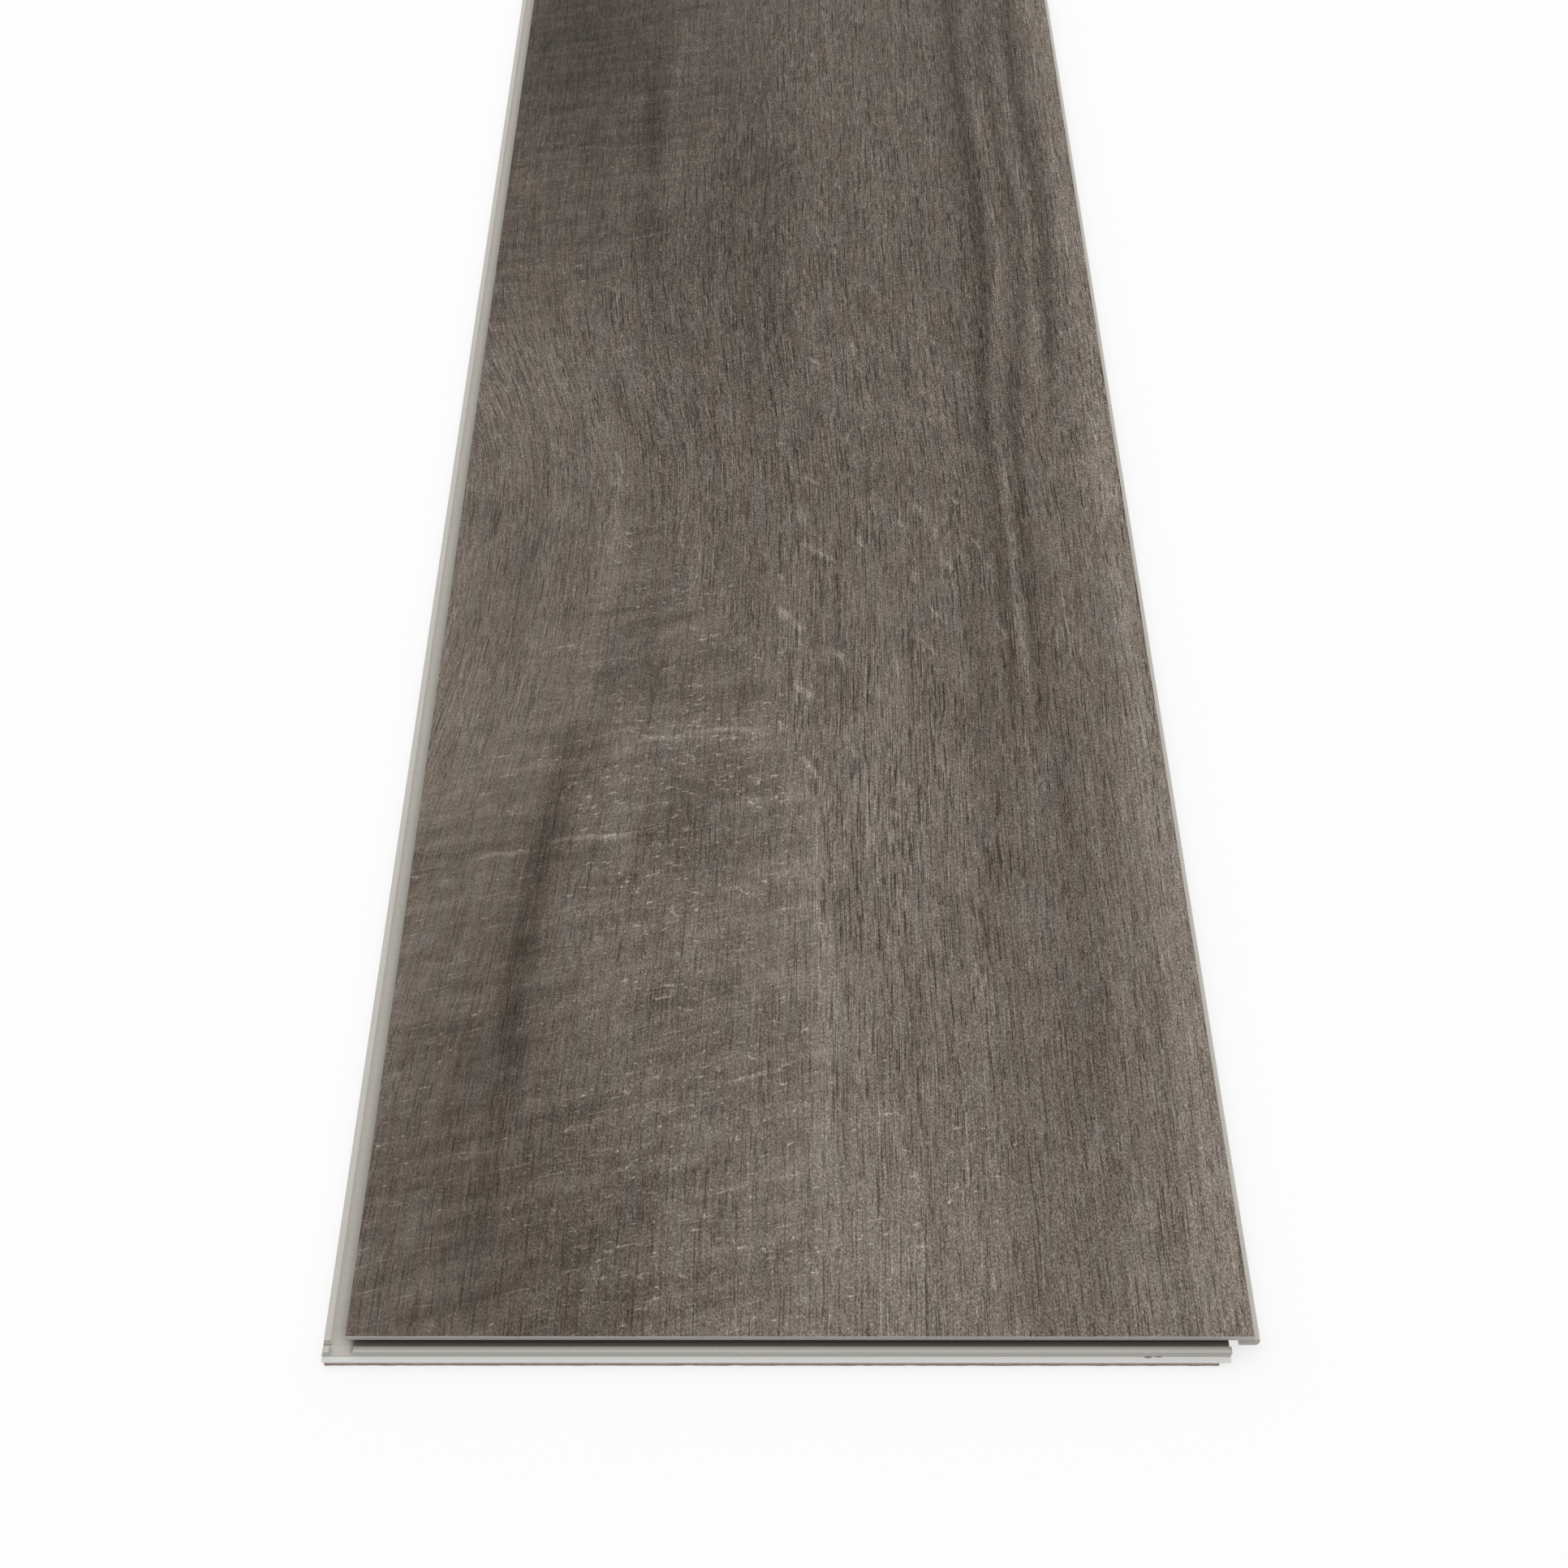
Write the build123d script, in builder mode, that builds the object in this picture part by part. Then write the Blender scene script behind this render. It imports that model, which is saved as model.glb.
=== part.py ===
from build123d import *
import os

# Sold size of the plank: the visible face, and the three bonded layers from the top down
face_length = 1219.2
face_width = 228.6
wear_thickness = 0.5
core_thickness = 4.5
pad_thickness = 1.5

# Play between mating faces of two joined planks, and at the tip of the tongue
joint_clearance = 0.1
tip_clearance = 0.2

# All four edges: depth below the face to which the joined planks close face to face
closing_depth = 1.6

# Right long edge: the tongue, and the hook behind it
tongue_reach = 1.7
tongue_tip_top_depth = 2.1
tongue_tip_height = 0.7
tongue_nose_run = 0.9
tongue_depth = 3.6
tip_radius = 0.25

# Left long edge: the lip that carries the tongue, with a locking bead along its outer side
lip_reach = 5.9
bead_depth = 2.4
bead_inner_run = 0.35
bead_land = 1.3
bead_outer_run = 0.5
bead_outer_foot_depth = 3.4
lip_edge_chamfer = 0.25

# Right long edge: the recess that takes the bead, and the small nib that snaps over its outer side
recess_depth = 1.75
recess_corner_run = 0.55
recess_corner_drop = 0.45
nib_top_depth = 2.6
nib_height = 0.25
nib_reach = 0.3

# Near end: the undercut and the slot behind it, the channel for the hook, the bead and the sloped ledge in front of it
snap_undercut = 0.45
snap_top_depth = 1.8
snap_height = 0.9
snap_foot_depth = 3.2
slot_reach = 2.2
slot_radius = 0.2
channel_depth = 3.75
channel_width = 1.0
end_bead_inner_run = 0.35
end_bead_depth = 2.4
end_bead_land = 1.8
end_step_run = 0.2
end_ledge_depth = 3.95
end_ledge_run = 1.15
end_ledge_drop = 0.5

# The pad stays back from the edges of the core above it
pad_lip_margin = 0.5
pad_wall_margin = 2.8
pad_end_margin = 0.2

# Heights of the layers above the floor
core_bottom = pad_thickness
core_top = core_bottom + core_thickness
face_top = core_top + wear_thickness

# Across the plank: the joint faces, the groove behind the left one and the lip in front of it
overall_width = lip_reach + face_width + tongue_reach
lip_outer = -overall_width / 2
face_left = lip_outer + lip_reach
face_right = face_left + face_width
tongue_tip = face_right + tongue_reach
groove_end = face_left + tongue_reach + tip_clearance
lip_floor_depth = tongue_depth + joint_clearance
bead_outer_crest = lip_outer + bead_outer_run
bead_inner_crest = bead_outer_crest + bead_land
bead_inner_foot = bead_inner_crest + bead_inner_run

# The hook and recess of the right edge lie over the lip of the next plank, one face width further on
hook_foot = bead_inner_foot + face_width + joint_clearance
hook_crest = bead_inner_crest + face_width + joint_clearance
wall = lip_outer + face_width - joint_clearance
nib_tip = wall + nib_reach
recess_back = wall - joint_clearance
recess_end = recess_back + recess_corner_run

# Along the plank: the joint faces, and from the near one outwards the channel, bead and ledge
end_lip_reach = channel_width + end_bead_inner_run + end_bead_land + end_step_run + end_ledge_run
snap_reach = snap_undercut - joint_clearance
overall_length = end_lip_reach + face_length + snap_reach
end_lip_outer = -overall_length / 2
face_near = end_lip_outer + end_lip_reach
face_far = face_near + face_length
channel_front = face_near - channel_width
end_bead_inner_crest = channel_front - end_bead_inner_run
end_bead_outer_crest = end_bead_inner_crest - end_bead_land
end_ledge_back = end_bead_outer_crest - end_step_run
end_ledge_front_depth = end_ledge_depth + end_ledge_drop

# The far end is the near end's counterpart, one face length further on and clear of it all round
end_hook_foot = channel_front + face_length + joint_clearance
end_hook_crest = end_bead_inner_crest + face_length + joint_clearance
end_recess_back = end_bead_outer_crest + face_length - joint_clearance
end_shelf_back = end_ledge_back + face_length - joint_clearance
end_wall = end_lip_outer + face_length - joint_clearance


def height_at(depth):
    return face_top - depth


# Printed vinyl face with its clear wear film
with BuildPart() as wear_layer:
    with BuildSketch(Plane.XY.offset(core_top)):
        with Locations(((face_left + face_right) / 2, (face_near + face_far) / 2)):
            Rectangle(face_width, face_length)
    extrude(amount=wear_thickness)

# Rigid core: the milled long edges run the whole length and the milled ends run the whole width
with BuildPart() as rigid_core:
    with BuildSketch(Plane.XZ) as long_edges:
        with BuildLine():
            Polyline(
                (face_left, core_top),
                (face_left, height_at(closing_depth)),
                (groove_end, height_at(tongue_tip_top_depth - joint_clearance)),
                (groove_end, height_at(lip_floor_depth)),
                (bead_inner_foot, height_at(lip_floor_depth)),
                (bead_inner_crest, height_at(bead_depth)),
                (bead_outer_crest, height_at(bead_depth)),
                (lip_outer, height_at(bead_outer_foot_depth)),
                (lip_outer, core_bottom + lip_edge_chamfer),
                (lip_outer + lip_edge_chamfer, core_bottom),
                (wall, core_bottom),
                (wall, height_at(bead_outer_foot_depth)),
                (nib_tip, height_at(nib_top_depth + nib_height)),
                (nib_tip, height_at(nib_top_depth)),
                (recess_back, height_at(nib_top_depth)),
                (recess_back, height_at(recess_depth + recess_corner_drop)),
                (recess_end, height_at(recess_depth)),
                (hook_crest, height_at(recess_depth)),
                (hook_foot, height_at(tongue_depth)),
                (tongue_tip - tongue_nose_run, height_at(tongue_depth)),
                (tongue_tip, height_at(tongue_tip_top_depth + tongue_tip_height)),
                (tongue_tip, height_at(tongue_tip_top_depth)),
                (face_right, height_at(closing_depth)),
                (face_right, core_top),
                close=True,
            )
        make_face()
        fillet(long_edges.vertices().group_by(Axis.X)[-1], radius=tip_radius)
    extrude(amount=overall_length / 2, both=True)
    with BuildSketch(Plane.YZ) as ends:
        with BuildLine():
            Polyline(
                (face_near, core_top),
                (face_near, height_at(closing_depth)),
                (face_near + snap_undercut, height_at(snap_top_depth)),
                (face_near + snap_undercut, height_at(snap_top_depth + snap_height)),
                (face_near, height_at(snap_foot_depth)),
                (face_near, height_at(channel_depth)),
                (channel_front, height_at(channel_depth)),
                (end_bead_inner_crest, height_at(end_bead_depth)),
                (end_bead_outer_crest, height_at(end_bead_depth)),
                (end_ledge_back, height_at(end_ledge_depth)),
                (end_lip_outer, height_at(end_ledge_front_depth)),
                (end_lip_outer, core_bottom),
                (end_wall, core_bottom),
                (end_wall, height_at(end_ledge_front_depth - joint_clearance)),
                (end_shelf_back, height_at(end_ledge_depth - joint_clearance)),
                (end_recess_back, height_at(end_bead_depth - joint_clearance)),
                (end_hook_crest, height_at(end_bead_depth - joint_clearance)),
                (end_hook_foot, height_at(channel_depth - joint_clearance)),
                (face_far, height_at(channel_depth - joint_clearance)),
                (face_far, height_at(snap_foot_depth)),
                (face_far + snap_reach, height_at(snap_top_depth + snap_height)),
                (face_far + snap_reach, height_at(snap_top_depth)),
                (face_far, height_at(closing_depth)),
                (face_far, core_top),
                close=True,
            )
        make_face()
    extrude(amount=overall_width / 2, both=True, mode=Mode.INTERSECT)
    # The slot under the near lip lets it spring over the hook, and opens into the groove and the recess at its two ends
    with BuildSketch(Plane.YZ.offset(groove_end)) as slot:
        with BuildLine():
            Polyline(
                (face_near, height_at(closing_depth)),
                (face_near + snap_undercut, height_at(snap_top_depth)),
                (face_near + slot_reach, height_at(snap_top_depth)),
                (face_near + slot_reach, height_at(channel_depth)),
                (face_near, height_at(channel_depth)),
                close=True,
            )
        make_face()
        fillet(slot.vertices().group_by(Axis.X)[-1], radius=slot_radius)
    extrude(amount=recess_end - groove_end, mode=Mode.SUBTRACT)

# Attached underlay pad
pad_left = lip_outer + pad_lip_margin
pad_right = wall - pad_wall_margin
pad_near = end_lip_outer + pad_end_margin
pad_far = end_wall - pad_wall_margin
with BuildPart() as underlay_pad:
    with BuildSketch(Plane.XY):
        with Locations(((pad_left + pad_right) / 2, (pad_near + pad_far) / 2)):
            Rectangle(pad_right - pad_left, pad_far - pad_near)
    extrude(amount=pad_thickness)

# Where the edge cutters cross, a crumb of tongue and a crumb of bead come loose at two corners and fall away
core_body = rigid_core.part.solids().sort_by(SortBy.VOLUME)[-1]

wear_layer.part.label = "wear_layer"
core_body.label = "rigid_core"
underlay_pad.part.label = "underlay_pad"

os.makedirs("parts", exist_ok=True)
export_step(wear_layer.part, "parts/wear_layer.step")
export_step(core_body, "parts/rigid_core.step")
export_step(underlay_pad.part, "parts/underlay_pad.step")
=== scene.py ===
import math

import bpy
import numpy as np
from mathutils import Matrix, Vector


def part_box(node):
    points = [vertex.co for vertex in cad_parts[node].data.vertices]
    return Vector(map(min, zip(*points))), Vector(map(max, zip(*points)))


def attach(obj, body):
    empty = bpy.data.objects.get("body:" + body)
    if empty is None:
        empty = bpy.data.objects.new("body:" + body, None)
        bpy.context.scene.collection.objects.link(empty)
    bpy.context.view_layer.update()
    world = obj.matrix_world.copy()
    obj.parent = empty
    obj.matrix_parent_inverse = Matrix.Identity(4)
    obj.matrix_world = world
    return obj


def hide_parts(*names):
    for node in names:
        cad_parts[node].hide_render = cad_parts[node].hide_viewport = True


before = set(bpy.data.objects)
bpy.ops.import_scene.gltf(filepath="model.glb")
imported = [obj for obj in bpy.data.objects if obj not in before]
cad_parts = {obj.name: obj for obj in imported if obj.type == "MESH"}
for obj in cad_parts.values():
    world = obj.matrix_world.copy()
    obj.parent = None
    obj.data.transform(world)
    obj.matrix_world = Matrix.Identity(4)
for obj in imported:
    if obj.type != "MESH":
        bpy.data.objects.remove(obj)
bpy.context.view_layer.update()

# Printed face: a calendered vinyl sheet with an oak print under a clear wear film, bonded to the core.
# The print shows a figured, speckled heart on the left and straight pored grain on the right, and the
# film is embossed so that the grain can be felt.
MM = 0.001
face_low, face_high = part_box("wear_layer")
face_width = face_high[0] - face_low[0]
face_length = face_high[1] - face_low[1]
film_thickness = face_high[2] - face_low[2]
face_middle_x = (face_low[0] + face_high[0]) / 2
face_middle_y = (face_low[1] + face_high[1]) / 2
relief_depth = 0.10 * MM
cells_across, cells_along = 360, 268

bpy.ops.object.select_all(action="DESELECT")
bpy.ops.mesh.primitive_grid_add(
    x_subdivisions=cells_across, y_subdivisions=cells_along, size=1,
    location=(face_middle_x, face_middle_y, face_high[2]),
)
face = bpy.context.object
face.name = "printed_face"
face.scale = (face_width, face_length, 1)
bpy.ops.object.transform_apply(location=True, rotation=True, scale=True)


def vertex_places(mesh):
    """The places of a mesh's vertices, one row for each."""
    places = np.empty(len(mesh.vertices) * 3)
    mesh.vertices.foreach_get("co", places)
    return places.reshape(-1, 3)


# The embossing dips below the face and never stands above it. Its texture is laid out on a map whose
# tiles are long along the plank, so that the furrows run with the grain.
furrow_width, furrow_length = 9 * MM, 150 * MM
furrow_map = face.data.uv_layers[0]
corners = np.empty(len(face.data.loops), dtype=np.int64)
face.data.loops.foreach_get("vertex_index", corners)
places = vertex_places(face.data)[corners]
furrow_map.data.foreach_set(
    "uv", np.stack([places[:, 0] / furrow_width, places[:, 1] / furrow_length], 1).ravel()
)
furrows = bpy.data.textures.new("furrows", "CLOUDS")
furrows.noise_scale = 0.5
furrows.noise_depth = 2
emboss = face.modifiers.new("emboss", "DISPLACE")
emboss.texture = furrows
emboss.texture_coords = "UV"
emboss.uv_layer = furrow_map.name
emboss.direction = "Z"
emboss.mid_level = 1.0
emboss.strength = relief_depth
bpy.ops.object.modifier_apply(modifier="emboss")
face.data.uv_layers.remove(face.data.uv_layers[0])

# The sheet's cut edges go down to the core, and its underside is one flat face.
bpy.ops.object.mode_set(mode="EDIT")
bpy.ops.mesh.select_mode(type="EDGE")
bpy.ops.mesh.select_all(action="SELECT")
bpy.ops.mesh.region_to_loop()
bpy.ops.mesh.extrude_edges_move(TRANSFORM_OT_translate={"value": (0, 0, -film_thickness)})
bpy.ops.transform.resize(value=(1, 1, 0), center_override=(0, 0, face_low[2]))
bpy.ops.mesh.edge_face_add()
bpy.ops.mesh.select_all(action="SELECT")
bpy.ops.mesh.normals_make_consistent(inside=False)
bpy.ops.object.mode_set(mode="OBJECT")

# Broad lights and darks of the print, each placed in mm: x across from the middle of the face, y along
# from the near end, half width, half length, lean to the right per unit of length, and strength in grey levels.
# Under them the whole print falls off a little towards the far end, partly painted shade of light that fades along the
# plank, and lightens along its right edge.
broad_tones = [
    (-100, 680, 42, 90, 0.0, -22), (-78, 620, 34, 60, 0.0, -9), (-24, 535, 20, 80, 0.0, -12),
    (-14, 440, 12, 70, 0.0, -5), (-57, 590, 3, 40, 0.0, -7), (-80, 530, 34, 24, 0.0, -8),
    (-55, 450, 16, 60, 0.0, -6), (-50, 380, 7, 36, 0.0, -7), (-22, 574, 7, 7, 0.0, -8),
    (-36, 545, 6, 7, 0.3, -7), (-45, 590, 14, 8, 0.0, 8), (-42, 552, 8, 9, 0.0, 10),
    (-100, 560, 18, 6, 0.0, 6), (-80, 625, 16, 5, 0.0, 4), (62, 200, 5, 60, 0.0, -8),
    (62, 50, 7, 70, 0.0, -9), (82, 95, 7, 50, 0.0, -9), (82, 175, 4, 40, 0.0, -6),
    (-84, 100, 20, 50, 0.0, -13), (-74, 22, 28, 44, 0.0, -19), (-102, 50, 18, 60, 0.0, -8),
    (-48, 14, 12, 30, 0.0, -8), (-60, 80, 14, 30, 0.0, -6), (18, 215, 14, 30, 0.0, 7),
    (-36, 190, 15, 26, 0.0, -11), (-50, 258, 10, 16, 0.2, -9), (-46, 300, 6, 50, 0.0, -6),
    (-62, 256, 3, 3, 0.0, -14), (-53, 495, 9, 26, 0.0, -7), (-103, 347, 7, 7, 0.0, -12),
    (-95, 490, 25, 25, 0.0, -5), (-108, 375, 8, 6, 0.0, -6), (-92, 415, 26, 50, 0.0, 9),
    (-104, 245, 13, 40, 0.0, 9), (-60, 330, 4, 36, 0.0, 11), (-28, 229, 20, 5, 0.6, 7),
    (-53, 195, 5, 45, 0.0, 7), (2, 175, 6, 40, 0.0, 10), (9, 115, 6, 50, 0.0, 12),
    (22, 30, 34, 46, 0.0, 12), (92, 20, 12, 50, 0.0, 6), (110, 560, 7, 200, 0.0, 13),
    (109, 280, 7, 120, 0.0, 13), (108, 60, 9, 120, 0.0, 5), (100, 390, 8, 60, 0.0, 6),
    (30, 620, 25, 120, 0.0, 4), (40, 260, 14, 60, 0.0, 4), (-60, 860, 30, 120, 0.0, -10),
    (20, 930, 22, 140, 0.02, 8), (-66, 176, 22, 11, 0.0, -10), (-57, 268, 8, 14, 0.0, -7),
    (-90, 86, 7, 11, 0.0, -8), (-18, 58, 5, 26, 0.0, -8), (-9, 480, 6, 40, 0.0, -6),
    (-6, 620, 9, 55, 0.0, -8), (-78, 440, 16, 40, -0.3, 5), (-112, 310, 6, 60, 0.0, 7),
    (-85, 708, 34, 30, 0.0, -7), (6, 285, 9, 26, 0.4, 5), (-24, 640, 6, 40, 0.0, -6),
    (-58, 600, 6, 34, 0.0, -6), (-90, 1050, 20, 80, 0.0, 9), (108, 950, 8, 260, 0.0, 11),
    (-100, 1180, 30, 60, 0.0, -9), (-20, 1060, 14, 110, 0.0, -9),
]
spots = vertex_places(face.data)
across = (spots[:, 0] - face_middle_x) / MM
along = (spots[:, 1] - face_low[1]) / MM
# Partly painted shade: the print darkens towards the far end
tone = np.interp(along, [0, 150, 300, 450, 724, 1219], [17, 16, 9, 2, -5, -3])
tone += 11 * np.clip((across - 102) / 10, 0, 1)
for tone_x, tone_y, half_width, half_length, lean, strength in broad_tones:
    sideways = (across - tone_x - lean * (along - tone_y)) / half_width
    lengthways = (along - tone_y) / half_length
    tone += strength * np.exp(-0.7 * (sideways**2 + lengthways**2))

# Growth rings that show as long dark or pale streaks: the path as y, x points in mm, half width and strength.
streak_paths = [
    (
        [(225, 70), (300, 69.5), (362, 68), (400, 69), (440, 70), (470, 72), (510, 74), (560, 73.5), (640, 71),
         (724, 70), (900, 74)],
        2.6, -20,
    ),
    ([(490, 75), (530, 75.5), (580, 74), (620, 73)], 2.6, -7),
    ([(420, 66), (470, 67), (540, 68), (620, 67)], 3.0, -11),
    ([(560, -56), (640, -57), (724, -55)], 3.6, -8), ([(600, -51), (650, -48), (710, -47)], 2.0, 10),
    ([(470, -19), (510, -18), (560, -20)], 2.0, 7),
    (
        [(215, 78), (260, 78.5), (300, 78), (340, 78), (380, 78.5), (410, 79), (440, 82), (470, 86), (490, 87.5)],
        2.2, -19,
    ),
    ([(450, 84), (470, 86.5), (500, 88.5), (520, 88.5), (560, 87), (620, 85), (724, 83)], 1.6, -11),
    (
        [(405, 93), (430, 94), (450, 95.5), (480, 97.5), (520, 99.5), (560, 99.5), (600, 97.5), (640, 96),
         (680, 95), (724, 96), (900, 93)],
        2.4, -17,
    ),
    ([(540, 66), (640, 64), (724, 66)], 2.0, -6), ([(540, 103), (580, 103), (640, 101)], 1.8, -8),
    ([(400, 90), (440, 90), (480, 92), (540, 93), (600, 91), (700, 89)], 2.2, 12),
    (
        [(230, 74), (300, 74), (370, 74), (410, 74.5), (450, 76), (480, 79), (520, 81), (580, 80), (660, 77)],
        1.8, 12,
    ),
    ([(70, -82), (110, -80), (140, -78), (165, -77), (200, -72), (225, -68), (243, -66)], 4.6, -19),
    ([(100, -83), (150, -82), (205, -77)], 5.0, -9), ([(175, -45), (205, -45)], 1.2, -8),
    ([(185, -38), (220, -38)], 1.2, -8), ([(100, -42), (125, -40)], 1.0, -9),
    ([(20, 12), (110, 14), (200, 8), (235, 4)], 1.0, -7), ([(250, -50), (300, -46), (350, -44)], 1.4, -5),
    ([(760, 60), (900, 62), (1060, 58), (1219, 61)], 2.6, -13),
    ([(820, 90), (1000, 96), (1219, 92)], 2.4, -12), ([(900, -30), (1100, -26), (1219, -30)], 3.0, -9),
    ([(760, 10), (900, 14), (1000, 12)], 2.4, 7),
]
streaks = np.zeros(len(along))
for path, half_width, strength in streak_paths:
    path_y, path_x = np.array(path, dtype=float).T
    run_out = min(40, (path_y[-1] - path_y[0]) / 3)
    ends = np.clip((along - path_y[0]) / run_out, 0, 1) * np.clip((path_y[-1] - along) / run_out, 0, 1)
    streaks += strength * ends * np.exp(-0.7 * ((across - np.interp(along, path_y, path_x)) / half_width) ** 2)

# The speckled heart: a flame that comes to a point left of the middle and widens towards the near end, with a
# hard edge on its right, and a second, softer one at the upper left.
flame_left = np.interp(along, [0, 180, 205, 230, 280, 310, 340, 372], [-140, -140, -112, -92, -79, -70, -62, -55])
flame_right = np.interp(
    along,
    [0, 60, 78, 85, 120, 200, 215, 235, 260, 280, 305, 330, 372],
    [26, 24, 18, 13, 8, 6, 2, -5, -10, -13, -30, -40, -55],
)
flame_edge = np.interp(along, [0, 70, 90, 230, 280, 372], [30, 24, 2.5, 2.5, 8, 10])
heart = np.clip((across - flame_left) / 10, 0, 1) * np.clip((flame_right - across) / flame_edge, 0, 1)
upper_right = np.interp(along, [420, 470, 560, 640, 725, 900, 1219], [-112, -70, -28, -14, -4, -40, -112])
upper_heart = np.clip((upper_right - across) / 22, 0, 1) * np.clip((along - 415) / 70, 0, 1)
heart = np.maximum(heart, 0.95 * upper_heart)

# Open pores are deepest just right of the flame and in the upper half, and thin out at the near left.
near_share = np.interp(along, [280, 360], [1, 0])
pore_depth = 1 - near_share * np.interp(across, [-116, -60, -30, 116], [0.15, 0.1, 0.0, 0.03])
pore_depth *= np.interp(along, [330, 480], [1.0, 1.13])
pore_depth += 0.45 * np.exp(-(((across - 27) / 24) ** 2) - ((along - 160) / 80) ** 2)
pore_depth *= 1 - 0.46 * heart
pore_depth *= 1 - 0.26 * (1 - heart) * np.interp(along, [0, 150, 260], [1.0, 0.8, 0.0])

# Beside the heart the grain swings out round a knot that lies off the left edge.
swing_length = np.where(along > 352, 85, 190)
grain_swing = 44 * np.exp(-(((along - 352) / swing_length) ** 2)) * np.exp(-(across + 114) / 62)

# Where the pale flakes of filler lie thickest: x, y, radius in mm, and share.
flake_groups = [
    (-38, 160, 22, 0.8), (-46, 165, 9, 0.8), (-33, 118, 16, 0.6), (-8, 150, 12, 0.6), (-41, 22, 22, 0.75),
    (-24, 40, 18, 0.75), (-14, 70, 20, 0.7), (39, 55, 18, 0.6), (20, 30, 16, 0.6), (-62, 70, 16, 0.5),
    (-85, 110, 18, 0.4), (-61, 326, 7, 0.9), (-33, 302, 11, 0.9), (-70, 297, 8, 0.5), (-16, 261, 8, 0.9),
    (-42, 252, 18, 0.8), (-28, 228, 20, 0.9), (-53, 204, 14, 0.9), (-16, 205, 16, 0.9), (-30, 190, 16, 0.7),
    (-8, 232, 8, 0.7), (-101, 503, 9, 0.7), (-86, 496, 9, 0.7), (-72, 490, 8, 0.5), (-98, 577, 9, 0.7),
    (-78, 584, 10, 0.7), (-63, 671, 8, 0.6), (-46, 676, 8, 0.6), (-51, 639, 10, 0.6), (-90, 600, 10, 0.5),
    (-60, 880, 30, 0.5), (-90, 960, 25, 0.5), (-40, 1120, 30, 0.6),
]
flakes = np.where(along < 345, 0.5, 0.4) * heart * np.interp(across, [-90, -50], [0.5, 1.0])
for group_x, group_y, radius, share in flake_groups:
    spread = (across - group_x) ** 2 + (along - group_y) ** 2
    flakes = np.maximum(flakes, share * np.exp(-spread / (radius * 1.7) ** 2))

for name, values in (
    ("tone", tone), ("streaks", streaks), ("heart", heart),
    ("pore_depth", pore_depth), ("grain_swing", grain_swing), ("flakes", flakes),
):
    layer = face.data.attributes.new(name, "FLOAT", "POINT")
    layer.data.foreach_set("value", values.astype(np.float32))

oak = bpy.data.materials.new("oak_print")
oak.use_nodes = True
oak_tree = oak.node_tree
oak_tree.nodes.clear()


def add_node(tree, kind, inputs=None, output=0, **settings):
    """A new node with these settings. Each input is a plain value or the output of another node."""
    node = tree.nodes.new(kind)
    for name, value in settings.items():
        setattr(node, name, value)
    for key, value in (inputs or {}).items():
        if isinstance(value, bpy.types.NodeSocket):
            tree.links.new(value, node.inputs[key])
        else:
            node.inputs[key].default_value = value
    return node.outputs[output]


def calc(tree, operation, first, second=0.0, third=0.0):
    """One step of arithmetic in a material."""
    return add_node(tree, "ShaderNodeMath", {0: first, 1: second, 2: third}, operation=operation)


def fade(tree, value, low, high, to_low=0.0, to_high=1.0):
    """A smooth change from to_low to to_high as value goes from low to high."""
    return add_node(
        tree, "ShaderNodeMapRange",
        {"Value": value, "From Min": low, "From Max": high, "To Min": to_low, "To Max": to_high},
        interpolation_type="SMOOTHSTEP",
    )


def grain_noise(tree, place, width, length, seed, detail=1.0, roughness=0.5):
    """Noise whose patches are this wide and this long, about 0 and mostly from -1 to 1. It is turned so that the
    patches don't line up in rows."""
    stretched = add_node(
        tree, "ShaderNodeMapping",
        {0: place, "Location": (seed, 1.7 * seed, 0), "Rotation": (0.5, 0.3, 0.6), "Scale": (1 / width, 1 / length, 1)},
    )
    noise = add_node(
        tree, "ShaderNodeTexNoise",
        {"Vector": stretched, "Scale": 1.0, "Detail": detail, "Roughness": roughness}, noise_dimensions="3D",
    )
    return calc(tree, "MULTIPLY_ADD", noise, 5.0, -2.5)


def srgb(red, green, blue):
    """The colour as the shader takes it, from its 0 to 255 values on screen."""
    return tuple(
        v / 12.92 if v <= 0.04045 else ((v + 0.055) / 1.055) ** 2.4 for v in (red / 255, green / 255, blue / 255)
    ) + (1.0,)


object_place = add_node(oak_tree, "ShaderNodeTexCoord", output=3)
split_place = add_node(oak_tree, "ShaderNodeSeparateXYZ", {0: object_place}).node
x_mm = calc(oak_tree, "MULTIPLY_ADD", split_place.outputs[0], 1 / MM, -face_middle_x / MM)
y_mm = calc(oak_tree, "MULTIPLY_ADD", split_place.outputs[1], 1 / MM, -face_low[1] / MM)
tone_level, streak_level, heart_share, pore_share, swing, flake_share = (
    add_node(oak_tree, "ShaderNodeAttribute", output=2, attribute_name=name)
    for name in ("tone", "streaks", "heart", "pore_depth", "grain_swing", "flakes")
)

flat_place = add_node(oak_tree, "ShaderNodeCombineXYZ", {0: x_mm, 1: y_mm})

# Across-grain coordinate: bent round the knot and wandering a little along the plank
wander = grain_noise(oak_tree, flat_place, 26, 110, 3.0)
ripple = grain_noise(oak_tree, flat_place, 5, 14, 13.0)
grain_x = calc(oak_tree, "MULTIPLY_ADD", wander, 0.9, calc(oak_tree, "SUBTRACT", x_mm, swing))
grain_x = calc(oak_tree, "MULTIPLY_ADD", ripple, 0.06, grain_x)
grain_place = add_node(oak_tree, "ShaderNodeCombineXYZ", {0: grain_x, 1: y_mm})

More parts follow.
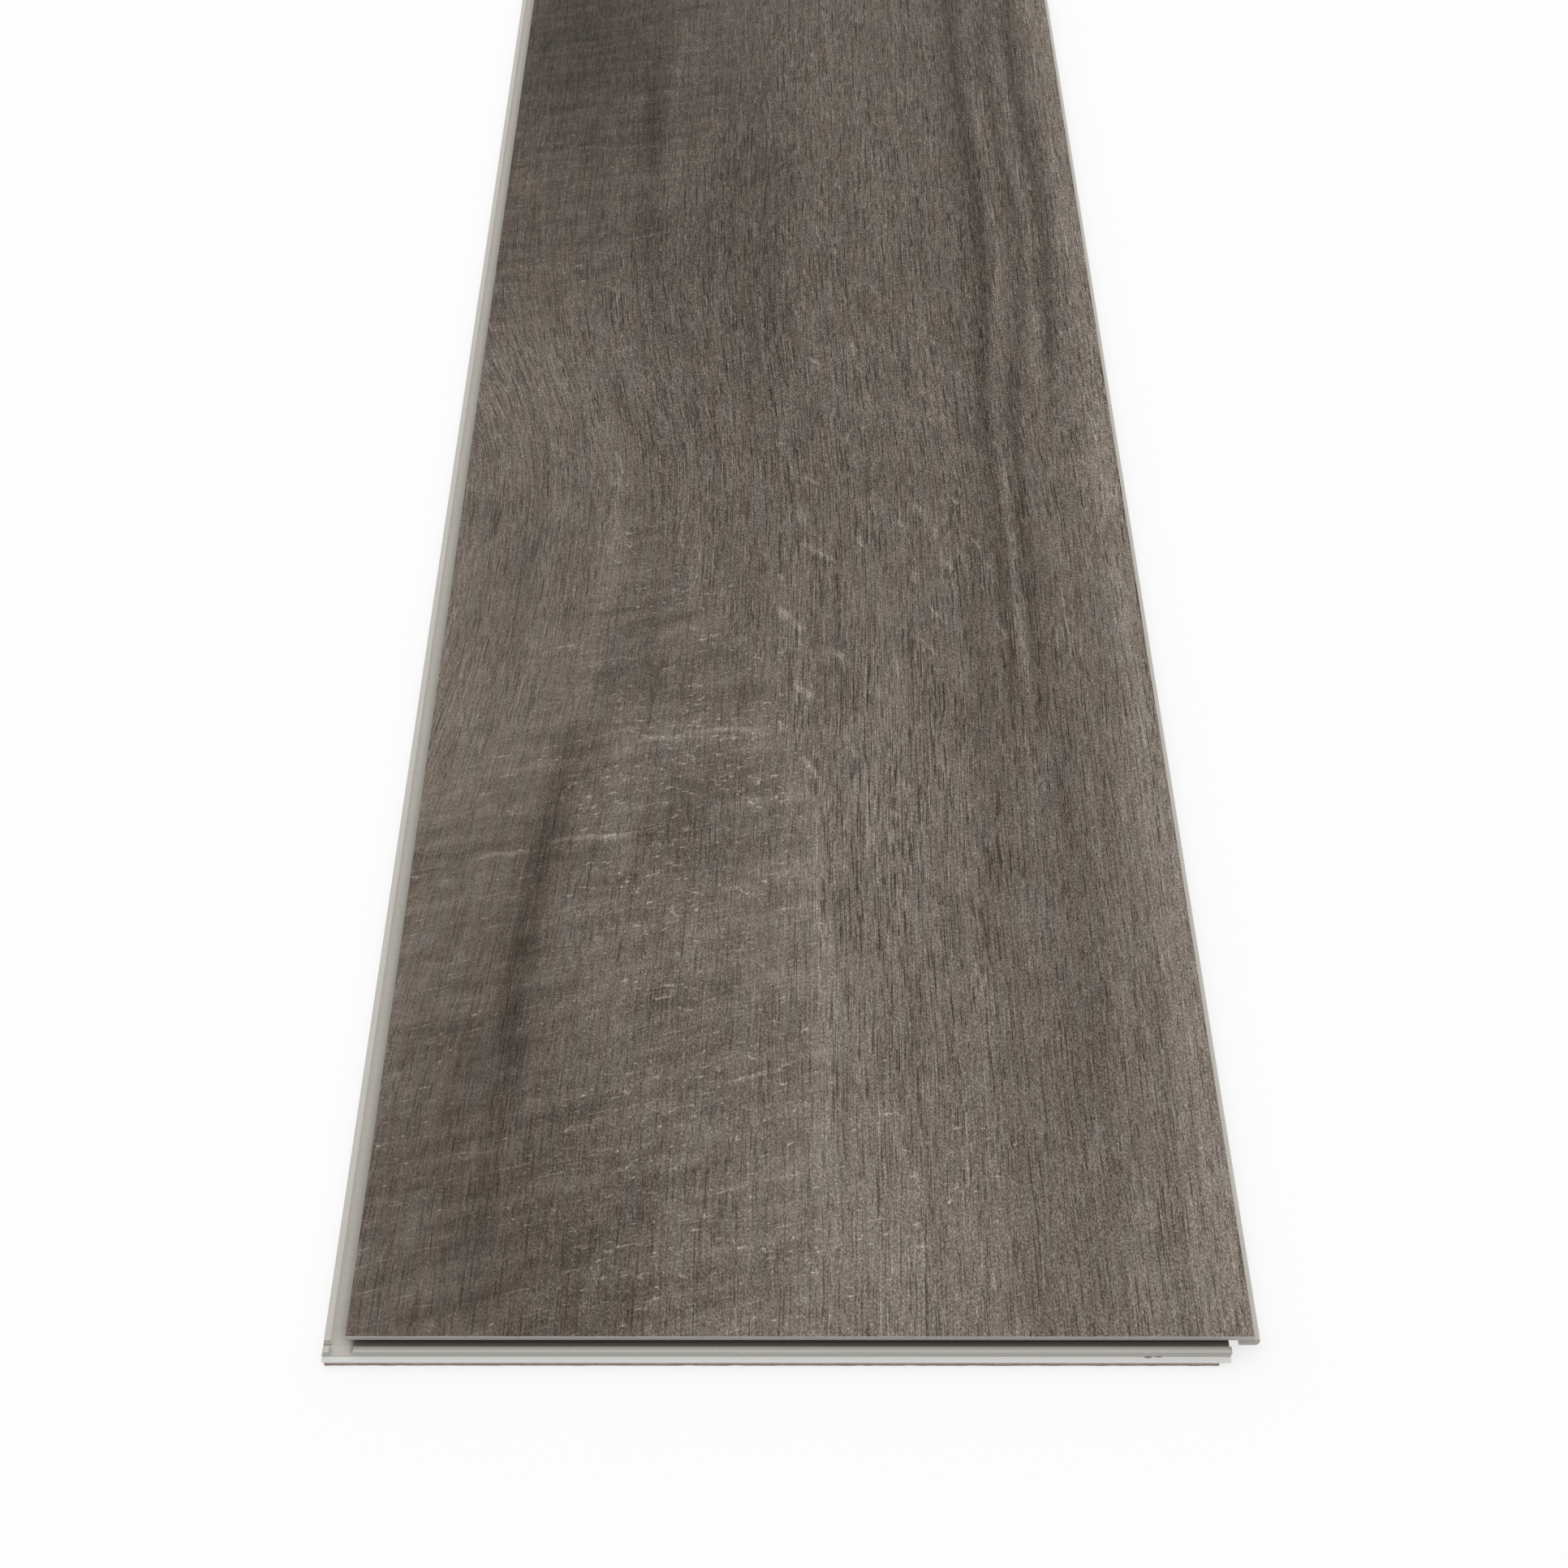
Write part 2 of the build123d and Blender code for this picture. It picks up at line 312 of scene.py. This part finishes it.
# Growth bands, fibres and pores, from broad to fine
bands = grain_noise(oak_tree, grain_place, 9.0, 210, 11.0, 3.0)
cords = grain_noise(oak_tree, grain_place, 3.0, 70, 17.0, 2.0)
fibres = grain_noise(oak_tree, grain_place, 1.0, 24, 5.0, 2.0)
pores = grain_noise(oak_tree, grain_place, 0.30, 30, 7.0)
threads = grain_noise(oak_tree, grain_place, 0.26, 30, 19.0)
dashes = grain_noise(oak_tree, grain_place, 0.7, 7, 29.0)
pore_dash = calc(oak_tree, "MULTIPLY", fade(oak_tree, pores, 0.1, -0.7), fade(oak_tree, dashes, -0.6, 0.5))
bright_thread = calc(oak_tree, "MULTIPLY", fade(oak_tree, threads, 0.0, 0.9), fade(oak_tree, dashes, 0.7, -0.7))
grit = grain_noise(oak_tree, flat_place, 0.42, 0.75, 23.0, 2.0, 0.6)

# In the heart the figure runs across the plank in soft bands that rise to the right
tilted_place = add_node(
    oak_tree, "ShaderNodeCombineXYZ",
    {0: calc(oak_tree, "MULTIPLY_ADD", y_mm, 0.30, x_mm), 1: calc(oak_tree, "MULTIPLY_ADD", x_mm, -0.30, y_mm)},
)
cross_bands = grain_noise(oak_tree, tilted_place, 40, 7.0, 31.0, 3.0, 0.55)
cross_hairs = grain_noise(oak_tree, tilted_place, 10, 0.7, 37.0)
scratch = fade(oak_tree, cross_hairs, 0.7, 1.3)
cloud = grain_noise(oak_tree, flat_place, 14, 20, 41.0, 3.0)
blotches = grain_noise(oak_tree, tilted_place, 6, 3.2, 53.0, 2.0, 0.6)

# Flakes of pale filler: ragged chips, thickest where the flake groups are
chips = grain_noise(oak_tree, tilted_place, 3.0, 1.6, 43.0, 2.0, 0.55)
chip_limit = calc(oak_tree, "MULTIPLY_ADD", cloud, 0.15, calc(oak_tree, "MULTIPLY_ADD", flake_share, -0.75, 1.20))
chip = fade(oak_tree, calc(oak_tree, "SUBTRACT", chips, chip_limit), -0.20, 0.40)

# Ray flecks: pale silky lens shapes across the grain, down the middle of the plank. Scuffs: thin pale lines.
# Each is placed in mm by x, y, half width and half length, with its turn to the left in degrees.
ray_flecks = [
    (3, 342, 2.0, 7, 8), (8.5, 321.5, 1.6, 8, 50), (-3.5, 289, 2.4, 4.5, 30), (1.5, 281.5, 1.7, 3.5, 35),
    (14.5, 267, 2.2, 5.5, 42), (2.5, 250, 1.8, 6.5, 38), (15.5, 228, 1.5, 4.5, 5), (18, 220, 1.0, 3, 30),
    (34, 204, 1.4, 4, 25), (-4, 232, 1.6, 4, 20), (5, 212, 1.2, 8, 28), (22, 446, 1.1, 7, 5),
    (8, 437, 1.2, 4, 35), (24, 432, 1.0, 4, 35), (46.5, 289, 0.8, 8.5, 27), (44, 270, 0.7, 7.5, 27),
    (40.5, 309, 0.6, 6, 5), (52, 315, 0.9, 4.5, 30), (22, 328, 1.2, 4.5, 30), (43, 347, 1.2, 4, 15),
    (37, 337, 1.0, 3, 25), (48, 333, 1.0, 4, 0), (55, 352, 1.0, 4, 30), (65.5, 314, 1.0, 3, 30),
    (62, 326, 0.9, 4, 30), (6, 363, 1.0, 4, 45), (-4.5, 308, 1.3, 2.5, 30), (30, 192, 1.2, 2.5, 50),
    (33, 260, 1.2, 6, 5), (68, 280, 0.7, 6, 20), (20, 480, 0.9, 7, 20), (-4, 384, 1.4, 2, 70),
    (48, 640, 1.2, 6, 25), (10, 675, 1.2, 9, 3), (1, 668, 0.8, 7, 3), (-60, 182, 1.3, 17, -83),
    (-88, 174, 1.2, 11, -76), (-20, 231, 1.4, 14, -84), (-42, 227, 1.2, 9, -80), (-15, 86, 0.9, 9, -70),
]
scuffs = [
    (-8, 89, 0.7, 12, -68), (25, 74, 0.5, 7, -74), (-43, 76, 0.7, 10, -72), (4, 87, 0.8, 5, -75),
    (-27, 276, 0.6, 14, -68), (-75, 272, 0.9, 9, -62), (-17, 228, 1.6, 14, -78), (-57, 183, 1.0, 9, -82),
    (-58, 524, 0.9, 9, -68), (-85, 695, 1.2, 7, -86), (-26, 706, 1.0, 7, -70), (-83, 594, 0.8, 8, -72),
    (-60, 246, 0.5, 7, -55), (54, 94, 0.5, 6, -40),
]


def nearest_mark(tree, place, marks):
    """How far a place is from the middle of the nearest mark: 0 in its middle and 1 on its outline."""
    nearest = None
    for mark_x, mark_y, half_width, half_length, turn in marks:
        own_place = add_node(
            tree, "ShaderNodeMapping",
            {0: place, "Location": (mark_x, mark_y, 0), "Rotation": (0, 0, math.radians(turn)),
             "Scale": (half_width, half_length, 1)},
            vector_type="TEXTURE",
        )
        reach = add_node(tree, "ShaderNodeVectorMath", {0: own_place}, output=1, operation="LENGTH")
        nearest = reach if nearest is None else calc(tree, "MINIMUM", nearest, reach)
    return nearest


wavy_place = add_node(
    oak_tree, "ShaderNodeCombineXYZ",
    {0: calc(oak_tree, "MULTIPLY_ADD", fibres, 0.5, x_mm), 1: calc(oak_tree, "MULTIPLY_ADD", cloud, 1.0, y_mm)},
)
fleck = fade(oak_tree, nearest_mark(oak_tree, wavy_place, ray_flecks), 1.3, 0.2)
scuff = fade(oak_tree, nearest_mark(oak_tree, wavy_place, scuffs), 1.3, 0.2)
scuff = calc(oak_tree, "MULTIPLY", scuff, fade(oak_tree, chips, -0.6, 0.6))

# All layers add up to one grey level, which the colour ramp turns into taupe
middle_grey = 87.5
level = calc(oak_tree, "ADD", tone_level, middle_grey)
streak_breaks = calc(oak_tree, "MULTIPLY_ADD", cords, 0.5, calc(oak_tree, "MULTIPLY_ADD", fibres, 0.4, 1.0))
grit_share = calc(oak_tree, "MULTIPLY_ADD", heart_share, -0.12, fade(oak_tree, x_mm, -95.0, -45.0, 0.68, 1.0))
grit_share = calc(oak_tree, "ADD", grit_share, fade(oak_tree, y_mm, 280.0, 420.0, 0.0, 0.4))
blotch_share = calc(oak_tree, "MAXIMUM", heart_share, fade(oak_tree, y_mm, 180.0, 420.0, 0.0, 0.6))
for layer, share, strength in (
    (bands, None, 4.6), (cords, None, 3.4), (fibres, pore_share, 4.4), (pore_dash, pore_share, -51.0),
    (bright_thread, pore_share, 31.0), (grit, grit_share, 34.0), (cross_bands, heart_share, 10.0),
    (scratch, heart_share, 24.0), (streak_level, streak_breaks, 1.15), (chip, None, 42.0), (cloud, None, 4.6),
    (blotches, blotch_share, 5.0), (fleck, None, 26.0), (scuff, None, 32.0),
):
    if share is not None:
        layer = calc(oak_tree, "MULTIPLY", layer, share)
    level = calc(oak_tree, "MULTIPLY_ADD", layer, strength, level)
taupe = add_node(oak_tree, "ShaderNodeValToRGB", {0: calc(oak_tree, "DIVIDE", level, 255.0)})
stops = taupe.node.color_ramp
stops.elements[0].position, stops.elements[0].color = 0.10, srgb(30, 23, 18)
stops.elements[1].position, stops.elements[1].color = 0.80, srgb(212, 203, 193)
for position, colour in ((0.28, (78, 67, 57)), (0.40, (109, 98, 87)), (0.52, (141, 129, 117))):
    stops.elements.new(position).color = srgb(*colour)
warmth = fade(oak_tree, grain_noise(oak_tree, grain_place, 5, 30, 47.0, 2.0), -1.0, 1.0, 0.74, 0.94)
taupe = add_node(oak_tree, "ShaderNodeHueSaturation", {"Saturation": warmth, "Color": taupe})

pore_height = calc(oak_tree, "MULTIPLY_ADD", pore_dash, -1.0, calc(oak_tree, "MULTIPLY", fibres, 0.35))
emboss_normal = add_node(
    oak_tree, "ShaderNodeBump", {"Height": pore_height, "Strength": 0.35, "Distance": 0.06 * MM}
)
sheen = fade(oak_tree, fibres, -1.0, 1.0, 0.60, 0.50)
oak_surface = add_node(
    oak_tree, "ShaderNodeBsdfPrincipled",
    {"Base Color": taupe, "Roughness": sheen, "Specular IOR Level": 0.05, "Normal": emboss_normal},
)
oak_out = oak_tree.nodes.new("ShaderNodeOutputMaterial")
oak_tree.links.new(oak_surface, oak_out.inputs["Surface"])

# The cut edge of the film is pale, nearly clear vinyl, made paler still by a painted highlight where the edge catches
# light.
cut_film = bpy.data.materials.new("cut_film")
cut_film.use_nodes = True
film_tree = cut_film.node_tree
film_place = add_node(film_tree, "ShaderNodeTexCoord", output=3)
film_grain = add_node(film_tree, "ShaderNodeTexNoise", {"Vector": film_place, "Scale": 900.0, "Detail": 2.0})


def two_tone(tree, share, low, low_colour, high, high_colour):
    """A tone that goes from one colour to the other as share goes from low to high."""
    ramp = add_node(tree, "ShaderNodeValToRGB", {0: share})
    first, last = ramp.node.color_ramp.elements
    first.position, first.color = low, srgb(*low_colour)
    last.position, last.color = high, srgb(*high_colour)
    return ramp


film_tone_and_highlight = two_tone(film_tree, film_grain, 0.3, (190, 188, 183), 0.7, (216, 215, 211))
film_shader = film_tree.nodes["Principled BSDF"]
film_tree.links.new(film_tone_and_highlight, film_shader.inputs["Base Color"])
film_shader.inputs["Roughness"].default_value = 0.45
film_shader.inputs["Specular IOR Level"].default_value = 0.2

face.data.materials.append(oak)
face.data.materials.append(cut_film)
for polygon in face.data.polygons:
    polygon.material_index = 0 if polygon.normal.z > 0.5 else 1
bpy.ops.object.shade_smooth_by_angle(angle=math.radians(40))
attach(face, "root")
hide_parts("wear_layer")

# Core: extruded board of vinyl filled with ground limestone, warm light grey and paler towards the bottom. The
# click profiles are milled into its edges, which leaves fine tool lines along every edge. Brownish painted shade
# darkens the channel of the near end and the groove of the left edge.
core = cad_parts["rigid_core"]
core_low, core_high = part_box("rigid_core")
core_mat = bpy.data.materials.new("filled_vinyl")
core_mat.use_nodes = True
core_tree = core_mat.node_tree
core_place = add_node(core_tree, "ShaderNodeTexCoord", output=3)
core_split = add_node(core_tree, "ShaderNodeSeparateXYZ", {0: core_place}).node
core_x = calc(core_tree, "MULTIPLY", core_split.outputs[0], 1 / MM)
core_y = calc(core_tree, "MULTIPLY", core_split.outputs[1], 1 / MM)
core_z = calc(core_tree, "MULTIPLY", core_split.outputs[2], 1 / MM)
side_run, end_run = calc(core_tree, "ADD", core_x, core_z), calc(core_tree, "ADD", core_y, core_z)
side_place = add_node(core_tree, "ShaderNodeCombineXYZ", {0: side_run, 1: core_y})
end_place = add_node(core_tree, "ShaderNodeCombineXYZ", {0: core_x, 1: end_run})
side_lines = grain_noise(core_tree, side_place, 0.35, 26, 2.0)
end_lines = grain_noise(core_tree, end_place, 26, 0.35, 4.0)
grains = add_node(core_tree, "ShaderNodeTexNoise", {"Vector": core_place, "Scale": 1500.0, "Detail": 2.0})
chalk = calc(core_tree, "MULTIPLY_ADD", grains, 0.10, 0.45)
chalk = calc(core_tree, "MULTIPLY_ADD", side_lines, 0.03, chalk)
chalk = calc(core_tree, "MULTIPLY_ADD", end_lines, 0.03, chalk)
core_tone = two_tone(core_tree, chalk, 0.35, (181, 177, 170), 0.65, (203, 200, 193))


def cover(tree, tone, share, colour):
    """The tone with this share of another colour over it."""
    return add_node(tree, "ShaderNodeMix", {0: share, 6: tone, 7: colour}, output=2, data_type="RGBA")


# The lowest part of the core is paler, and palest at its foot, which is a painted highlight of light bounced up from
# the floor
pale_band_top = core_low[2] / MM + 1.1
pale_band = fade(core_tree, core_z, pale_band_top + 0.1, pale_band_top - 0.1)
foot_highlight = fade(core_tree, core_z, pale_band_top - 0.5, pale_band_top - 0.7)
# Painted highlight: the near-white foot stands for light bounced up from the white floor
pale_band_tone = cover(core_tree, srgb(228, 229, 225), foot_highlight, srgb(249, 250, 247))
core_tone = cover(core_tree, core_tone, pale_band, pale_band_tone)

# Painted shade darkens the near channel and its slot, as far as the recess of the right edge, and the left groove,
# darkest next to the walls over them. It is placed by the distance in mm outwards from the near face and from the left
# one.
end_gap = calc(core_tree, "SUBTRACT", face_low[1] / MM, core_y)
side_gap = calc(core_tree, "SUBTRACT", face_low[0] / MM, core_x)
recess_x = face_high[0] / MM - 5.0
shade_top = pale_band_top + 2.4
end_shade = calc(
    core_tree, "MULTIPLY", fade(core_tree, end_gap, 3.4, 0.6), fade(core_tree, end_gap, -3.4, -2.4, 0.0, 0.8)
)
end_shade = calc(core_tree, "MULTIPLY", end_shade, fade(core_tree, core_x, recess_x, recess_x - 1.0))
end_shade = calc(core_tree, "MULTIPLY", end_shade, fade(core_tree, side_gap, -0.6, -2.2))
side_shade = calc(
    core_tree, "MULTIPLY", fade(core_tree, side_gap, 4.2, 0.0), fade(core_tree, side_gap, -3.4, -2.4, 0.0, 0.42)
)
side_shade = calc(core_tree, "MULTIPLY", side_shade, fade(core_tree, end_gap, 0.5, -6.0))
painted_shade = calc(core_tree, "MAXIMUM", end_shade, side_shade)
painted_shade = calc(core_tree, "MULTIPLY", painted_shade, fade(core_tree, core_z, shade_top, shade_top - 0.2))
# Painted shade: brownish grey over the near channel, its slot and the left groove
core_tone = cover(core_tree, core_tone, painted_shade, srgb(118, 109, 103))
# Deeper painted shade on the floor of the near channel
channel_floor = fade(core_tree, core_z, pale_band_top + 1.3, pale_band_top + 0.7, 0.0, 0.5)
deep_shade = calc(core_tree, "MULTIPLY", end_shade, channel_floor)
core_tone = cover(core_tree, core_tone, deep_shade, srgb(66, 58, 53))

# Painted light: the inner slope of the left bead is painted pale, to lift the shade that falls on it
slope_light = calc(
    core_tree, "MULTIPLY", fade(core_tree, side_gap, 3.65, 3.80), fade(core_tree, side_gap, 4.15, 4.05, 0.0, 0.7)
)
slope_light = calc(core_tree, "MULTIPLY", slope_light, fade(core_tree, end_gap, 0.0, -1.0))
# Painted light: near white over the inner slope of the left bead
core_tone = cover(core_tree, core_tone, slope_light, srgb(240, 237, 231))

# A nick in the foot of the near bead, from handling, drawn as a dark mark: painted shade in its hollow
nick_x, nick_y = face_high[0] / MM - 26.8, face_low[1] / MM - 3.45
nicks = [(nick_x, nick_y, 1.2, 0.30, 0), (nick_x + 2.6, nick_y + 0.05, 1.2, 0.12, 0)]
top_place = add_node(core_tree, "ShaderNodeCombineXYZ", {0: core_x, 1: core_y})
nick_shade = fade(core_tree, nearest_mark(core_tree, top_place, nicks), 1.2, 0.4, 0.0, 0.75)
nick_shade = calc(core_tree, "MULTIPLY", nick_shade, fade(core_tree, core_z, pale_band_top + 0.30, pale_band_top))
# Painted shade: the dark grey of the nick
core_tone = cover(core_tree, core_tone, nick_shade, srgb(84, 81, 77))
core_shader = core_tree.nodes["Principled BSDF"]
core_tree.links.new(core_tone, core_shader.inputs["Base Color"])
core_shader.inputs["Roughness"].default_value = 0.6
core_shader.inputs["Specular IOR Level"].default_value = 0.1
core.data.materials.clear()
core.data.materials.append(core_mat)

# Pad: a sheet of soft brown foam glued under the core, cut a little short of its edges. The knife
# leaves a ragged lower edge.
pad_low, pad_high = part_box("underlay_pad")
bpy.ops.object.select_all(action="DESELECT")
bpy.ops.mesh.primitive_grid_add(
    x_subdivisions=300, y_subdivisions=80, size=1,
    location=((pad_low[0] + pad_high[0]) / 2, (pad_low[1] + pad_high[1]) / 2, pad_high[2]),
)
pad = bpy.context.object
pad.name = "foam_pad"
pad.scale = (pad_high[0] - pad_low[0], pad_high[1] - pad_low[1], 1)
bpy.ops.object.transform_apply(location=True, rotation=True, scale=True)
bpy.ops.object.mode_set(mode="EDIT")
bpy.ops.mesh.select_all(action="SELECT")
bpy.ops.mesh.extrude_region_move(TRANSFORM_OT_translate={"value": (0, 0, pad_low[2] - pad_high[2])})
bpy.ops.mesh.select_all(action="SELECT")
bpy.ops.mesh.normals_make_consistent(inside=False)
bpy.ops.object.mode_set(mode="OBJECT")
rim_group = pad.vertex_groups.new(name="lower_rim")
rim_depth = 0.4 * MM
for vertex in pad.data.vertices:
    lower = vertex.co.z < pad_high[2] - rim_depth
    edge_gap = min(
        vertex.co.x - pad_low[0], pad_high[0] - vertex.co.x, vertex.co.y - pad_low[1], pad_high[1] - vertex.co.y
    )
    if lower and edge_gap < rim_depth:
        rim_group.add([vertex.index], 1.0, "REPLACE")
tatter = bpy.data.textures.new("tatter", "CLOUDS")
tatter.noise_scale = 0.004
tatter.noise_depth = 3
tatter.intensity = 0.75
tatter.contrast = 2.0
tatter.use_clamp = True
torn = pad.modifiers.new("torn", "DISPLACE")
torn.texture = tatter
torn.texture_coords = "LOCAL"
torn.direction = "Z"
torn.vertex_group = "lower_rim"
torn.mid_level = 0.0
torn.strength = 0.25 * MM
bpy.context.view_layer.objects.active = pad
bpy.ops.object.modifier_apply(modifier="torn")

pad_mat = bpy.data.materials.new("brown_foam")
pad_mat.use_nodes = True
pad_tree = pad_mat.node_tree
pad_place = add_node(pad_tree, "ShaderNodeTexCoord", output=3)
cells = add_node(pad_tree, "ShaderNodeTexVoronoi", {"Vector": pad_place, "Scale": 1400.0})
mottle = add_node(pad_tree, "ShaderNodeTexNoise", {"Vector": pad_place, "Scale": 260.0, "Detail": 3.0})
foam_level = calc(pad_tree, "MULTIPLY_ADD", cells, 0.35, calc(pad_tree, "MULTIPLY", mottle, 0.7))
foam_tone = two_tone(pad_tree, foam_level, 0.3, (153, 141, 131), 0.75, (188, 176, 165))
pad_shader = pad_tree.nodes["Principled BSDF"]
pad_tree.links.new(foam_tone, pad_shader.inputs["Base Color"])
foam_bump = add_node(pad_tree, "ShaderNodeBump", {"Height": cells, "Strength": 0.4, "Distance": 0.2 * MM})
pad_tree.links.new(foam_bump, pad_shader.inputs["Normal"])
pad_shader.inputs["Roughness"].default_value = 0.9
pad_shader.inputs["Specular IOR Level"].default_value = 0.1
pad.data.materials.append(pad_mat)
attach(pad, "root")
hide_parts("underlay_pad")

# Studio: a plain white floor under a wide soft light from above and behind, with a little light from all round. The
# floor keeps the shadow, and lies a hair below the pad so that their faces don't meet.
bpy.ops.object.select_all(action="DESELECT")
floor_size, floor_gap = 60, 0.01 * MM
bpy.ops.mesh.primitive_plane_add(size=floor_size, location=(0, 0, -floor_gap))
floor = bpy.context.object
floor.name = "studio_floor"
floor_mat = bpy.data.materials.new("white_floor")
floor_mat.use_nodes = True
floor_tree = floor_mat.node_tree
floor_tree.nodes.clear()
floor_paint = add_node(floor_tree, "ShaderNodeBsdfDiffuse", {"Color": (0.95, 0.95, 0.95, 1.0)})
floor_glow = add_node(floor_tree, "ShaderNodeEmission", {"Color": (1.0, 1.0, 1.0, 1.0), "Strength": 1.0})


def seen_share(tree):
    """1 where a surface is looked at, straight or in a reflection, and 0 where it only gives light."""
    rays = add_node(tree, "ShaderNodeLightPath").node
    seen = calc(tree, "MAXIMUM", rays.outputs["Is Camera Ray"], rays.outputs["Is Glossy Ray"])
    return calc(tree, "MAXIMUM", seen, rays.outputs["Is Transmission Ray"])


white_share = 0.7
floor_seen = calc(floor_tree, "MULTIPLY", seen_share(floor_tree), white_share)
floor_look = add_node(floor_tree, "ShaderNodeMixShader", {0: floor_seen, 1: floor_paint, 2: floor_glow})
floor_out = floor_tree.nodes.new("ShaderNodeOutputMaterial")
floor_tree.links.new(floor_look, floor_out.inputs["Surface"])
floor.data.materials.append(floor_mat)

studio = bpy.data.worlds.new("studio")
bpy.context.scene.world = studio
studio.use_nodes = True
studio.node_tree.nodes["Background"].inputs["Color"].default_value = (1.0, 1.0, 1.0, 1.0)
room_light = 0.22
backdrop = calc(
    studio.node_tree, "MULTIPLY_ADD", seen_share(studio.node_tree), 1.0 - room_light, room_light
)
studio.node_tree.links.new(backdrop, studio.node_tree.nodes["Background"].inputs["Strength"])
skylight = bpy.data.lights.new("skylight", "SUN")
skylight.energy = 2.64
skylight.angle = math.radians(140)
skylight_object = bpy.data.objects.new("skylight", skylight)
skylight_object.rotation_euler = (math.radians(-24), 0, 0)
bpy.context.collection.objects.link(skylight_object)

# Camera: above the near end, looking down along the plank.
camera = bpy.data.cameras.new("camera")
camera.sensor_width = 36.0
camera.lens = 62.42
camera.clip_end = 50
camera_object = bpy.data.objects.new("camera", camera)
bpy.context.collection.objects.link(camera_object)
camera_pitch, camera_yaw, camera_roll = math.radians(42.491), math.radians(0.318), math.radians(0.284)
camera_place = (
    face_middle_x - 7.07 * MM, face_low[1] - 410.06 * MM, face_high[2] + 563.86 * MM
)
camera_object.matrix_world = (
    Matrix.Translation(camera_place) @ Matrix.Rotation(-camera_yaw, 4, "Z")
    @ Matrix.Rotation(math.pi / 2 - camera_pitch, 4, "X") @ Matrix.Rotation(camera_roll, 4, "Z")
)
bpy.context.scene.camera = camera_object
bpy.context.scene.view_settings.view_transform = "Standard"
